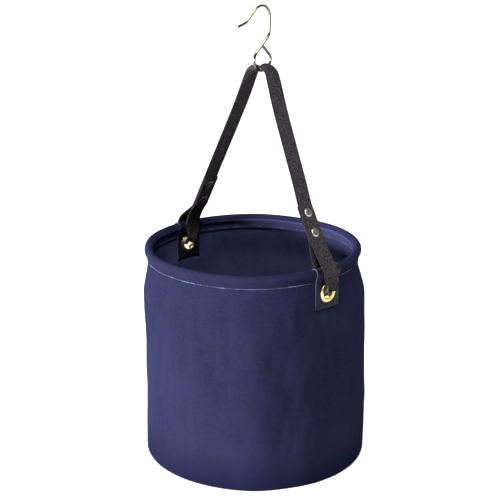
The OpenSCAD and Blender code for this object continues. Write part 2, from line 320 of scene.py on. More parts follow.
def line(a, b, step):
    count = max(2, int(math.dist(a, b) / step) + 1)
    return [(a[0] + (b[0] - a[0]) * t, a[1] + (b[1] - a[1]) * t) for t in np.linspace(0, 1, count)]


def wall_section():
    """The wall's outline from the foot's inner edge, up outside, round the roll, and down inside."""
    foot = BASE_R - TURN_R
    outside = line((BASE_R, TURN_R), (BASE_R, FLARE_LOW), 3 * MM)[:-1]
    outside += line((BASE_R, FLARE_LOW), (NECK_R, FLARE_TOP), 3 * MM)[:-1]
    outside += line((NECK_R, FLARE_TOP), (NECK_R, NECK_Z), 3 * MM)
    roll_start = -68
    roll_end = 244
    outline = [(foot - 1 * MM, 0.15 * MM)]
    outline += arc((foot, TURN_R), TURN_R, -88, -4, 9)
    outline += outside
    outline += arc((RIM_R, ROLL_Z), ROLL_R, roll_start, roll_end, 44)
    outline += line((NECK_IN, ROLL_Z - 7.5 * MM), (NECK_IN, ROLL_Z - HEM_H), 1.2 * MM)
    inside = NECK_R - CANVAS
    outline += line((inside - 0.1 * MM, ROLL_Z - HEM_H - 0.5 * MM), (inside, FLARE_TOP), 3 * MM)[:-1]
    outline += line((inside, FLARE_TOP), (BASE_R - CANVAS, FLARE_LOW), 3 * MM)[:-1]
    outline += line((BASE_R - CANVAS, FLARE_LOW), (BASE_R - CANVAS, TURN_R), 3 * MM)
    outline += arc((foot, TURN_R), TURN_R - CANVAS, -4, -88, 7)
    outline += [(foot - 1 * MM, CANVAS)]
    return outline


SETTLED = 2.6 * MM
SETTLED_TOWARDS = math.radians(48)


def settled(x, y, z):
    """The lower part of the bucket has settled a little to one side of the rim."""
    aside = SETTLED * smoothstep((ROLL_Z - 30 * MM - z) / (190 * MM))
    return x + aside * math.cos(SETTLED_TOWARDS), y + aside * math.sin(SETTLED_TOWARDS)


def place_on_wall(radius, z, angle):
    """A point of the wall's section turned to an angle, with the cloth's sag and the rim's wave."""
    rise, out = rim_wave(angle)
    top = smoothstep((z - (ROLL_Z - 45 * MM)) / (40 * MM))
    r = radius + sag(angle, z) + out * top
    x, y = settled(r * np.cos(angle), r * np.sin(angle), z)
    return x, y, z + rise * top


def canvas_wall():
    outline = np.array(wall_section())
    columns = 540
    angle = np.linspace(0, 2 * math.pi, columns + 1)
    along = np.concatenate([[0], np.cumsum(np.linalg.norm(np.diff(outline, axis=0), axis=1))])
    closing = along[-1] + np.linalg.norm(outline[0] - outline[-1])
    rows = []
    for r, z in outline:
        x, y, up = place_on_wall(r, z, angle[:-1])
        rows.append(np.stack([x, y, up], 1))
    places = np.zeros((len(outline) + 1, columns + 1, 2))
    places[:, :, 0] = angle[None, :] * RIM_R
    places[:, :, 1] = np.append(along, closing)[:, None]
    wall = grid_object("bucket_canvas", rows, True, True, places)
    wall.data.materials.append(canvas)
    wall.data.materials.append(canvas_inside_painted_light)
    first_inside = int(np.argmax(outline[:, 1])) + INSIDE_ROWS_PAST_CREST
    # faces inside the bucket get the lighter copy of the canvas, which is painted light
    for index, face in enumerate(wall.data.polygons):
        if index // columns >= first_inside:
            face.material_index = 1
    cutters = eyelet_cutters(DRILL_R)
    drill(wall, cutters)
    remove(cutters)
    return wall


# ---------------------------------------------------------------- sewing


def stitch_shape(start, end, out, thick):
    """One stitch: a short rounded thread from start to end, raised a little in the middle along out."""
    start, end, out = np.array(start), np.array(end), np.array(out)
    way = end - start
    across = np.cross(way / np.linalg.norm(way), out)
    verts = []
    profile = [(0, 0.35, -0.5), (0.12, 0.85, 0.0), (0.5, 1.0, 0.25), (0.88, 0.85, 0.0), (1, 0.35, -0.5)]
    for t, wide, lift in profile:
        centre = start + way * t + out * lift * thick
        for k in range(6):
            a = math.pi * k / 3
            verts.append(centre + (across * math.cos(a) + out * math.sin(a)) * thick / 2 * wide)
    faces = []
    for i in range(len(profile) - 1):
        for k in range(6):
            faces.append((i * 6 + k, i * 6 + (k + 1) % 6, (i + 1) * 6 + (k + 1) % 6, (i + 1) * 6 + k))
    faces.append(tuple(range(6))[::-1])
    faces.append(tuple((len(profile) - 1) * 6 + k for k in range(6)))
    return verts, faces


def stitch_row(name, points, outs, pitch=STITCH_PITCH):
    """A sewn row along a list of points, each with the direction that the cloth faces."""
    points, outs = np.array(points, float), np.array(outs, float)
    run = np.concatenate([[0], np.cumsum(np.linalg.norm(np.diff(points, axis=0), axis=1))])

    def at(list_of, where):
        return np.array([np.interp(where, run, list_of[:, k]) for k in range(3)])

    parts = []
    for k in range(int(run[-1] / pitch)):
        a = k * pitch + STITCH_GAP / 2 + rng.uniform(-STITCH_JITTER, STITCH_JITTER) * MM
        b = (k + 1) * pitch - STITCH_GAP / 2
        out = at(outs, (a + b) / 2)
        parts.append(stitch_shape(at(points, a), at(points, b), out / np.linalg.norm(out), THREAD_D))
    return joined(name, parts)


def round_row(name, radius, z, inward):
    """Stitches round the wall, from patch to patch."""
    hidden = (PATCH_W / 2 + 1 * MM) / PATCH_OUT
    spans = [(hidden, math.pi - hidden), (math.pi + hidden, 2 * math.pi - hidden)]
    rows = []
    for start, end in spans:
        angle = np.linspace(start, end, 700)
        x, y, up = place_on_wall(radius, z, angle)
        sign = -1 if inward else 1
        outs = np.stack([sign * np.cos(angle), sign * np.sin(angle), 0 * angle], 1)
        rows.append(stitch_row(name, np.stack([x, y, up], 1), outs))
    return join_objects(name, rows)


def join_objects(name, objects):
    parts = [([v.co[:] for v in o.data.vertices], [p.vertices[:] for p in o.data.polygons]) for o in objects]
    remove(objects)
    return joined(name, parts)


def seam_rows():
    """Two rows down the lap where the wall's two ends are sewn."""
    rows = []
    for shift in (-6 * MM, 6 * MM):
        angle = LAP_ANGLE + shift / NECK_R
        heights = np.linspace(10 * MM, ROLL_Z - 12 * MM, 120)
        x, y, up = place_on_wall(wall_radius(heights), heights, np.full_like(heights, angle))
        outs = np.tile([math.cos(angle), math.sin(angle), 0], (len(heights), 1))
        rows.append(stitch_row("row", np.stack([x, y, up], 1), outs))
    return join_objects("side_seam_thread", rows)


def base_rows():
    """The row that joins the base cloth to the wall, seen from under the bucket."""
    angle = np.linspace(0, 2 * math.pi, 900)
    r = BASE_R - TURN_R - 4 * MM
    x, y = settled(r * np.cos(angle), r * np.sin(angle), 0)
    points = np.stack([x, y, np.full_like(angle, 0.45 * MM)], 1)
    outs = np.tile([0, 0, -1], (len(angle), 1))
    return stitch_row("base_thread", points, outs, 4 * MM)


def side_seam():
    """The strip of cloth that laps over the wall's other end, outside."""
    half = 9 * MM / NECK_R
    across = np.linspace(-half, half, 15)
    heights = np.linspace(TURN_R + 2 * MM, NECK_Z + 4 * MM, 110)
    lift = 0.9 * MM * (1 - np.abs(across / half) ** 6)
    rows = []
    for r, z in zip(wall_radius(heights), heights):
        x, y, up = place_on_wall(r + lift - 0.2 * MM, np.full_like(across, z), LAP_ANGLE + across)
        rows.append(np.stack([x, y, up], 1))
    outer = np.array(rows)
    inner = outer.copy()
    inner[:, :, :2] *= 1 - 0.9 * MM / NECK_R
    ring = np.concatenate([outer, inner[:, ::-1]], axis=1)
    places = np.zeros((ring.shape[0], ring.shape[1] + 1, 2))
    places[:, :, 0] = np.linspace(0, 2 * 18 * MM, ring.shape[1] + 1)[None, :]
    places[:, :, 1] = heights[:, None]
    return grid_object("side_seam", ring, False, True, places, caps=True)


# ---------------------------------------------------------------- base


def disc(name, radius, top, bottom, wave, edge_r):
    """A cloth disc with a rounded edge, whose two faces rise and fall with wave(radius, angle)."""
    columns = 144
    turn = np.linspace(0, 2 * math.pi, columns, endpoint=False)
    inner = [0.4 * MM] + list(np.linspace(4 * MM, radius - edge_r, 44))
    half = (top - bottom) / 2
    middle_z = (top + bottom) / 2
    outline = [(r, top) for r in inner]
    outline += [
        (radius - edge_r + edge_r * math.cos(a), middle_z + half * math.sin(a))
        for a in np.radians(np.linspace(60, -60, 6))
    ]
    outline += [(r, bottom) for r in inner[::-1]]
    rows = []
    for r, z in outline:
        lift = wave(r, turn)
        x, y = settled(r * np.cos(turn), r * np.sin(turn), z)
        rows.append(np.stack([x, y, z + lift], 1))
    points = np.array(rows)
    faces = grid_faces(len(outline), columns, False, True)[0]
    flat = points.reshape(-1, 3)
    uvs = flat[faces][:, :, :2].reshape(-1, 2).tolist()
    faces = faces.tolist()
    for ring in (list(range(columns))[::-1], [(len(outline) - 1) * columns + k for k in range(columns)]):
        faces.append(ring)
        uvs += flat[ring][:, :2].tolist()
    return new_object(name, flat, faces, uvs)


def base_cloth():
    def wave(r, angle):
        return (0.12 + 0.12 * np.sin(3 * angle + 60 * r)) * MM * smoothstep((BASE_R - TURN_R - r) / (15 * MM))

    return disc("base_canvas", BASE_R - TURN_R + 1.2 * MM, CANVAS, 0.0, wave, 1 * MM)


def base_lining():
    def wave(r, angle):
        hills = 0.5 * np.sin(3 * angle + 40 * r) + 0.3 * np.sin(5 * angle - 70 * r)
        fade = smoothstep((LINING_R - r) / (20 * MM)) * smoothstep(r / (20 * MM))
        return (0.8 + hills) * MM * fade * 0.9

    bottom = LINING_TOP - CANVAS
    return disc("base_lining_canvas", LINING_R - 1 * MM, LINING_TOP, bottom, wave, 1.2 * MM)


# ---------------------------------------------------------------- patches, eyelets


def patch_path():
    """Middle of the patch's thickness as (radius, height), from its inner end over the rim."""
    half = PATCH_T / 2
    outer_r = PATCH_OUT + half
    inner_r = NECK_IN - 0.3 * MM - half
    low_in = NECK_R - CANVAS - 0.2 * MM - half
    over = ROLL_R + 0.15 * MM + half
    path = line((low_in, PATCH_LOW), (low_in, ROLL_Z - HEM_H - 5 * MM), 1.5 * MM)
    path += line((inner_r, ROLL_Z - HEM_H + 0.5 * MM), (inner_r, ROLL_Z - 8.5 * MM), 1.5 * MM)
    path += arc((RIM_R, ROLL_Z), over, 218, -40, 34)
    path += line((outer_r, NECK_Z + 1.5 * MM), (outer_r, PATCH_LOW), 1.5 * MM)
    return np.array(path)


def patch(side):
    name = "left" if side < 0 else "right"
    path, along = catmull(patch_path(), 1.2 * MM)
    run = np.gradient(path, axis=0)
    run /= np.linalg.norm(run, axis=1)[:, None]
    out = np.stack([-run[:, 1], run[:, 0]], 1)
    columns = 34
    across = np.linspace(-0.5, 0.5, columns) * PATCH_W
    end_lift = smoothstep(1 - np.minimum(along, along[-1] - along) / (9 * MM)) * 0.5 * MM
    corner = np.abs(across / across[-1]) ** 4
    outer, inner = [], []
    for k, (r, z) in enumerate(path):
        wrinkle = 0.18 * MM * np.sin(across / MM * 0.55 + along[k] / MM * 0.22 + side)
        off_rim = smoothstep((abs(along[k] - along[-1] / 2) / MM - 18) / 8)
        lift = end_lift[k] * (0.3 + corner) + wrinkle * off_rim
        for rows, half in ((outer, PATCH_T / 2), (inner, -PATCH_T / 2)):
            radius = r + out[k, 0] * (half + lift)
            height = z + out[k, 1] * (half + lift)
            angle = across / PATCH_OUT + (0 if side > 0 else math.pi)
            rows.append(np.stack([radius * np.cos(angle), radius * np.sin(angle), height], 1))
    outer, inner = np.array(outer), np.array(inner)
    edge = (outer + inner) / 2
    bulge = 0.25 * MM
    right_edge = edge[:, -1:] + (edge[:, -1:] - edge[:, -2:-1]) / PATCH_W * columns * bulge
    left_edge = edge[:, :1] + (edge[:, :1] - edge[:, 1:2]) / PATCH_W * columns * bulge
    ring = np.concatenate([outer, right_edge, inner[:, ::-1], left_edge], axis=1)
    places = np.zeros((ring.shape[0], ring.shape[1] + 1, 2))
    u = np.concatenate([across, [across[-1]], across[::-1], [across[0], across[0]]])
    places[:, :, 0] = u[None, :]
    places[:, :, 1] = along[:, None]
    piece = grid_object(f"patch_{name}_vinyl", ring, False, True, places, caps=True)
    piece.data.materials.append(vinyl)
    piece.data.materials.append(vinyl_edge)
    total = len(piece.data.polygons)
    per_row = ring.shape[1]
    for index, face in enumerate(piece.data.polygons):
        column = index % per_row
        cap = index >= total - 2
        if cap or column in (columns - 1, columns, per_row - 2, per_row - 1):
            face.material_index = 1
    cutters = eyelet_cutters(DRILL_R)
    drill(piece, cutters)
    remove(cutters)
    return piece


def onto_eyelet(obj, side):
    """Turns a shape made about local Z so that local Z points out along the eyelet's axis."""
    turn = Matrix.Rotation(side * math.pi / 2, 4, "Y")
    obj.data.transform(Matrix.Translation((0, 0, EYELET_Z)) @ turn)
    obj.data.update()


def bead(r_in, r_out, base, crown):
    """A rolled flange's section: a low dome from r_out to r_in that rises from base to crown."""
    middle_r, half = (r_in + r_out) / 2, (r_out - r_in) / 2
    section = []
    for a in np.linspace(math.pi, 0, 14):
        shape = math.sin(a) ** 0.7
        section.append((middle_r + half * math.cos(a), base + (crown - base) * shape))
    return section[::-1]


def eyelet(side):
    """Flange outside, barrel through the cloth, and the barrel's end rolled over the washer."""
    name = "left" if side < 0 else "right"
    base = FLANGE_X - 1.6 * MM
    crown = FLANGE_X
    flared = WASHER_X - 1 * MM
    tail = flared - 1.3 * MM
    wall = 0.8 * MM
    section = [(HOLE_R + wall, base + 0.35 * MM)]
    section += [(FLANGE_R - 0.5 * MM, base), (FLANGE_R - 0.1 * MM, base + 0.3 * MM)]
    section += bead(HOLE_R, FLANGE_R, base + 0.5 * MM, crown)
    section += [(HOLE_R - 0.05 * MM, base - 1.5 * MM), (HOLE_R, flared)]
    section += [(HOLE_R + 0.5 * MM, tail), (HOLE_R + 1.5 * MM, tail - 0.1 * MM)]
    section += [(HOLE_R + 2.5 * MM, tail + 0.5 * MM), (HOLE_R + 2.6 * MM, flared - 0.15 * MM)]
    section += [(HOLE_R + wall + 0.3 * MM, flared - 0.1 * MM), (HOLE_R + wall, flared + 0.6 * MM)]
    piece = lathe(f"eyelet_{name}_brass", section, 72)
    onto_eyelet(piece, side)
    return piece


def eyelet_washer(side):
    name = "left" if side < 0 else "right"
    top, low = WASHER_X, WASHER_X - 1 * MM
    r_in, r_out = HOLE_R + 0.95 * MM, FLANGE_R
    section = [(r_in, low + 0.1 * MM), (r_in + 2.4 * MM, low - 0.15 * MM), (r_out - 1.6 * MM, low)]
    section += [(r_out - 0.4 * MM, low + 0.35 * MM), (r_out, top - 0.2 * MM)]
    section += [(r_out - 0.4 * MM, top - 0.05 * MM), (r_in + 0.2 * MM, top - 0.35 * MM)]
    piece = lathe(f"washer_{name}_brass", section, 72)
    onto_eyelet(piece, side)
    return piece


# ---------------------------------------------------------------- webbing strap

LEGS_X = 12.2 * MM
LEGS_Z = ROLL_Z + 277 * MM
LEAN = {-1: math.radians(28.2), 1: math.radians(24.4)}
BEND_R = 22 * MM
RIVET_LOW = 48 * MM
RIVET_HIGH = 72.5 * MM
LAYER = STRAP_T + 0.3 * MM
HOLE_GAP = 0.4 * MM
half_bend = (LEAN[-1] + LEAN[1]) / 2
bend_tilt = (LEAN[-1] - LEAN[1]) / 2
BEND_X = LEGS_X - BEND_R / math.sin(half_bend) * math.sin(bend_tilt)
BEND_Z = LEGS_Z - BEND_R / math.sin(half_bend) * math.cos(bend_tilt)
EYE_R = 14.6 * MM
WIRE_R = 2 * MM
EYE_Z = BEND_Z + BEND_R - STRAP_T / 2 - 0.3 * MM - WIRE_R + EYE_R
CURL_EYE = 1 / (EYE_R - WIRE_R - 0.3 * MM - STRAP_T / 2)
CURL_HOLE = 1 / (HOLE_R - HOLE_GAP - STRAP_T / 2)
HOLE_H = ROLL_Z - EYELET_Z - HOLE_R + HOLE_GAP + STRAP_T / 2
LEANING = Matrix.Translation((0, 0, SWING_Z)) @ Matrix.Rotation(-LEAN_BACK, 4, "X")
LEANING = LEANING @ Matrix.Translation((0, 0, -SWING_Z))


def near_rim(side, dx, dz, curl=0.0, width=25.0):
    """A station beside the rim: places in mm from the roll's centre, then curl in 1/mm and width in mm."""
    return [side * (RIM_R + dx * MM), ROLL_Z + dz * MM, curl / MM, width * MM]


def on_leg(side, z, curl=0.0):
    """A station on a leg's middle line at a height in metres, with its curl in 1/mm."""
    return [LEGS_X + side * math.tan(LEAN[side]) * (LEGS_Z - z), z, curl / MM, STRAP_W]


def on_bend(degrees, curl, width=STRAP_W):
    """A station on the top bend, with its curl in 1/m and its width in metres."""
    a = math.radians(degrees)
    return [BEND_X + BEND_R * math.cos(a), BEND_Z + BEND_R * math.sin(a), curl, width]


def loop_stations(side):
    """From outside the rim, down, through the eyelet and up inside."""
    low = -HOLE_H / MM
    tight = CURL_HOLE * MM
    places = [
        (5.3, 7.5), (7.1, 4.8), (8.6, 0), (8.4, -6, 0.02), (7.6, -12, 0.08), (7.1, -17.5, 0.13, 22.5),
        (6.5, low + 1.2, 0.145, 21.5), (4.7, low, tight, 21), (0.6, low, tight, 21), (-3.5, low, tight, 21),
        (-5.4, low + 1.2, 0.145, 21.5), (-6.2, -17.5, 0.13, 22), (-7.2, -12, 0.10, 23), (-9, -5, 0.05),
        (-11, 1.5), (-13, 7.5),
    ]
    return [near_rim(side, *p) for p in places]


RIVETS = {
    -1: (on_leg(-1, ROLL_Z + RIVET_LOW), on_leg(-1, ROLL_Z + RIVET_HIGH)),
    1: (near_rim(1, -23.7, 47.5), near_rim(1, -38, 71.5)),
}


def on_lap(side, rivet, along, layers=0.0):
    """A station on the lap: mm along it past the low (0) or high (1) rivet, and layers further in."""
    low, high = (np.array(p[:2]) for p in RIVETS[side])
    run = (high - low) / np.linalg.norm(high - low)
    out = np.array([run[1] * side, -run[0] * side])
    spot = (low, high)[rivet] + run * along * MM - out * LAYER * layers
    return [spot[0], spot[1], 0.0, STRAP_W]


def tail_stations(side):
    bend = -20.6 if side < 0 else -18.6
    tail = [near_rim(side, -14.5, 12), near_rim(side, bend, 24), on_lap(side, 0, -9, 1.1)]
    return tail + [on_lap(side, *p, 1) for p in ((0, -5), (0, 0), (1, 0), (1, 11))]


def strap_route():
    left_leg = [near_rim(-1, *p) for p in ((3, 12), (-3.4, 18.6), (-10.5, 24), (-19.6, 30.4), (-25, 35))]
    left_leg += [on_lap(-1, *p) for p in ((0, -11), (0, -7), (0, 0), (1, 0), (1, 13))]
    left_leg += [on_leg(-1, ROLL_Z + 150 * MM), on_leg(-1, ROLL_Z + 200 * MM, 0.004)]
    over = [on_bend(180 - math.degrees(LEAN[-1]), 0.04 / MM), on_bend(120, 0.075 / MM)]
    over += [on_bend(90, CURL_EYE, 23.5 * MM), on_bend(57, 0.075 / MM)]
    over += [on_bend(math.degrees(LEAN[1]), 0.04 / MM)]
    right_leg = [on_leg(1, ROLL_Z + 200 * MM, 0.004)]
    right_leg += [on_leg(1, ROLL_Z + 150 * MM), on_leg(1, ROLL_Z + 108 * MM)]
    right_leg += [on_lap(1, *p) for p in ((1, 13), (1, 0), (0, 0), (0, -7), (0, -11))]
    right_leg += [near_rim(1, *p) for p in ((-14.1, 32), (-8.4, 24.7), (-3.4, 18.6), (1.3, 12))]
    route = tail_stations(-1)[::-1] + loop_stations(-1)[::-1] + left_leg
    return route + over + right_leg + loop_stations(1) + tail_stations(1)


def leaned(points):
    """The strap leans back about its swing line, more and more from the rim up to where it leaves it."""
    lean = LEAN_BACK * smoothstep((points[..., 2] - ROLL_Z - 8 * MM) / (34 * MM))
    up = points[..., 2] - SWING_Z
    y = points[..., 1] * np.cos(lean) + up * np.sin(lean)
    z = SWING_Z + up * np.cos(lean) - points[..., 1] * np.sin(lean)
    return np.stack([points[..., 0], y, z], -1)


def strap():
    """The whole webbing strap in one piece, from one riveted end to the other."""
    stations, along = catmull(strap_route(), 1.6 * MM)
    centre = stations[:, :2]
    run = np.gradient(centre, axis=0)
    run /= np.linalg.norm(run, axis=1)[:, None]
    out = np.stack([-run[:, 1], run[:, 0]], 1)
    flat = 18
    edge = 5
    half = STRAP_T / 2
    # each point of the section: part of the width, height over the middle, and how far past the flat part
    round_edge = np.linspace(0, math.pi, edge + 2)[1:-1]
    ring = [(u, half, 0.0) for u in np.linspace(-0.5, 0.5, flat)]
    ring += [(0.5, half * math.cos(a), half * math.sin(a)) for a in round_edge]
    ring += [(u, -half, 0.0) for u in np.linspace(0.5, -0.5, flat)]
    ring += [(-0.5, -half * math.cos(a), -half * math.sin(a)) for a in round_edge]
    rows = []
    for k in range(len(stations)):
        curl, width = max(stations[k, 2], 0.01), stations[k, 3] - 2 * half
        row = []
        for share, thick, past in ring:
            bend = share * width * curl
            lift = (1 - math.cos(bend)) / curl + thick * math.cos(bend) + past * math.sin(bend)
            across = math.sin(bend) / curl - thick * math.sin(bend) + past * math.cos(bend)
            row.append((centre[k, 0] + out[k, 0] * lift, across, centre[k, 1] + out[k, 1] * lift))
        rows.append(row)
    places = np.zeros((len(rows), len(ring) + 1, 2))
    u = [spot[0] * STRAP_W for spot in ring]
    places[:, :, 0] = np.array(u + [u[0]])[None, :]
    places[:, :, 1] = along[:, None]
    return grid_object("webbing_strap", leaned(np.array(rows)), False, True, places, caps=True)


def rivet_places(side):
    """Each rivet's centre on the strap and the way its head faces."""
    low, high = (np.array(p[:2]) for p in RIVETS[side])
    run = (high - low) / np.linalg.norm(high - low)
    out = np.array([run[1] * side, -run[0] * side])
    return [(low, out), (high, out)]


def rivet_parts(side, section, offset, name):
    pieces = []
    for spot, out in rivet_places(side):
        piece = lathe(name, section, 48, closed=False)
        face = Vector((out[0], 0, out[1]))
        turn = Vector((0, 0, 1)).rotation_difference(face).to_matrix().to_4x4()
        at = Vector((spot[0], 0, spot[1])) + face * offset
        piece.data.transform(LEANING @ Matrix.Translation(at) @ turn)
        pieces.append(piece)
    return join_objects(name, pieces)


def rivet_heads(side):
    """Two capped heads with their shanks: a dished face inside a rounded rim."""
    r, h = 6 * MM, 1.7 * MM
    section = [(0.05 * MM, -2 * MM), (2 * MM, -2 * MM), (2 * MM, -0.1 * MM), (r - 0.7 * MM, -0.1 * MM)]
    section += [(r - 0.1 * MM, 0.15 * MM), (r, 0.5 * MM), (r - 0.25 * MM, 1.0 * MM)]
    section += [(r - 1.0 * MM, 1.45 * MM), (r - 2.0 * MM, h - 0.05 * MM), (2.8 * MM, h)]
    section += [(1.6 * MM, h - 0.12 * MM), (0.05 * MM, h - 0.15 * MM)]
    name = "rivets_left" if side < 0 else "rivets_right"
    return rivet_parts(side, section, STRAP_T / 2 + 0.02 * MM, name)


def rivet_backs(side):
    """Two smaller backs with the shank's end spread in the middle."""
    r, h = 5.5 * MM, 1.3 * MM
    section = [(0.05 * MM, 0.3 * MM), (r - 0.5 * MM, 0.1 * MM), (r, -0.2 * MM), (r - 0.3 * MM, -0.7 * MM)]
    section += [(r - 1.4 * MM, -h + 0.2 * MM), (2.9 * MM, -h), (2.5 * MM, -h + 0.45 * MM)]
    section += [(1.9 * MM, -h + 0.4 * MM), (1.5 * MM, -h + 0.1 * MM), (0.05 * MM, -h + 0.2 * MM)]
    name = "rivet_backs_left" if side < 0 else "rivet_backs_right"
    return rivet_parts(side, section, -STRAP_T / 2 - LAYER - 0.02 * MM, name + "_dark")


# ---------------------------------------------------------------- hook


def wire_path(steps, start, heading):
    """Points of a bent wire. Each step is (straight length, degrees to the left, bend radius), in mm."""
    spot = np.array(start, float)
    points = [spot.copy()]
    for length, turn, radius in steps:
        way = np.array([math.cos(heading), math.sin(heading)])
        for _ in range(int(length)):
            spot = spot + way * length / int(length) * MM
            points.append(spot.copy())
        hand = math.copysign(1, turn)
        count = int(abs(turn) / WIRE_STEP)
        if count:
            centre = spot + np.array([-way[1], way[0]]) * hand * radius * MM
            arm = spot - centre
            for k in range(1, count + 1):
                a = math.radians(turn) * k / count
                spin = np.array([[math.cos(a), -math.sin(a)], [math.sin(a), math.cos(a)]])
                points.append(centre + spin @ arm)
            spot = points[-1].copy()
        heading += math.radians(turn)
    return points


# both start where the eye meets the stem: one goes up and over the bend, the other round the eye
STEM = [(25.7, 45, 12), (19.4, 135, 14.9), (20.5, -27, 12), (14, 0, 0)]
EYE = [(0, 235, 14.6), (0, 35, 6), (17.2, 0, 0)]


def hook():
    """One wire from its eye's closed end, round the eye, up the stem, over the bend and out to the tip."""
    start = EYE_R * np.array([math.cos(math.radians(135)), math.sin(math.radians(135))])
    stem = wire_path(STEM, start, math.radians(45))
    eye = wire_path(EYE, start, math.radians(225))
    path = np.array(eye[::-1] + stem[1:])
    kept = [path[0]]
    for p in path[1:]:
        if np.linalg.norm(p - kept[-1]) > 0.5 * MM:
            kept.append(p)
    path = np.array(kept)
    centre = np.stack([np.full(len(path), HOOK_X), path[:, 0], EYE_Z + path[:, 1]], 1)
    run = np.gradient(centre, axis=0)
    run /= np.linalg.norm(run, axis=1)[:, None]
    side = np.array([1.0, 0, 0])
    ends = [0.62, 0.9, 1.0]
    rows = []
    for k in range(len(centre)):
        up = np.cross(run[k], side)
        size = 1 + 0.006 * math.sin(k * 0.9)
        turn = np.linspace(0, 2 * math.pi, 28, endpoint=False)
        rows.append(centre[k] + WIRE_R * size * (np.outer(np.cos(turn), side) + np.outer(np.sin(turn), up)))
    rows = np.array(rows)
    for first, step in ((0, 1), (len(rows) - 1, -1)):
        cut = []
        for scale, back in zip(ends, (0, 0.15, 0.5)):
            cut.append(centre[first] + (rows[first] - centre[first]) * scale + run[first] * step * back * MM)
        if step > 0:
            rows = np.concatenate([cut, rows[1:]])
        else:
            rows = np.concatenate([rows[:-1], cut[::-1]])
    wire = grid_object("hook_wire", rows, False, True, caps=True)
    wire.data.transform(LEANING)
    return wire


# ---------------------------------------------------------------- materials


class Shader:
    """Short names for building one material's nodes."""

    def __init__(self, name, **settings):
        self.material = bpy.data.materials.new(name)
        self.material.use_nodes = True
        self.tree = self.material.node_tree
        self.surface = self.tree.nodes["Principled BSDF"]
        for socket, value in settings.items():
            self.surface.inputs[socket.replace("_", " ")].default_value = value

    def node(self, kind, **inputs):
        settings = {k[4:]: inputs.pop(k) for k in list(inputs) if k.startswith("set_")}
        made = self.tree.nodes.new("ShaderNode" + kind)
        for key, value in settings.items():
            setattr(made, key, value)
        for key, value in inputs.items():
            socket = made.inputs[int(key[1:])] if key[0] == "i" and key[1:].isdigit() else made.inputs[key]
            if isinstance(value, bpy.types.NodeSocket):
                self.tree.links.new(value, socket)
            else:
                socket.default_value = value
        return made

    def math(self, operation, a, b=0.0, c=0.0, clamp=False):
        return self.node("Math", set_operation=operation, set_use_clamp=clamp, i0=a, i1=b, i2=c).outputs[0]

    def noise(self, where, scale, detail=3.0):
        return self.node("TexNoise", Vector=where, Scale=scale, Detail=detail, Roughness=0.5).outputs["Fac"]

    def ramp(self, value, low, high):
        """value stretched so that low becomes 0 and high becomes 1."""
        made = self.node("MapRange", Value=value)
        made.inputs["From Min"].default_value = low
        made.inputs["From Max"].default_value = high
        return made.outputs[0]

    def mix(self, factor, a, b):
        return self.node("Mix", set_data_type="RGBA", i0=factor, i6=a, i7=b).outputs[2]

    def place(self):
        return self.node("TexCoord").outputs["Object"]

    def colour(self, socket):
        self.tree.links.new(socket, self.surface.inputs["Base Color"])

    def rough(self, socket):
        self.tree.links.new(socket, self.surface.inputs["Roughness"])

    def bump(self, height, distance, strength=1.0):
        made = self.node("Bump", Strength=strength, Distance=distance, Height=height)
        self.tree.links.new(made.outputs[0], self.surface.inputs["Normal"])

    def weave(self, across, along):
        """Plain weave: crowns of warp and weft in turn. across and along are the thread pitches in metres."""
        uv = self.node("SeparateXYZ", Vector=self.node("UVMap", set_uv_map="cloth").outputs[0])
        u = self.math("SINE", self.math("MULTIPLY", uv.outputs[0], math.pi / across))
        v = self.math("SINE", self.math("MULTIPLY", uv.outputs[1], math.pi / along))
        over = self.math("MULTIPLY_ADD", self.math("MULTIPLY", u, v), 1.6, 0.5, clamp=True)
        warp, weft = self.math("ABSOLUTE", u), self.math("ABSOLUTE", v)
        difference = self.math("SUBTRACT", warp, weft)
        return self.math("MULTIPLY_ADD", over, difference, weft)


def rgb(r, g, b):
    return (r, g, b, 1.0)


CLOTH_GAPS = rgb(0.0033, 0.0035, 0.0122)
# painted shade: the colour that the canvas is darkened to at its foot, standing in for the shade low on the
# wall
CLOTH_FOOT_PAINTED_SHADE = rgb(0.0034, 0.0037, 0.0130)
THREAD_DARK, THREAD_LIGHT = rgb(0.011, 0.0125, 0.040), rgb(0.20, 0.25, 0.50)
WEBBING_LOW, WEBBING_LOW_WORN = rgb(0.006, 0.0050, 0.007), rgb(0.010, 0.0085, 0.011)
WEBBING_HIGH, WEBBING_SPECK = rgb(0.013, 0.0108, 0.0140), rgb(0.100, 0.086, 0.096)
WEBBING_EDGE = rgb(0.010, 0.0088, 0.0110)


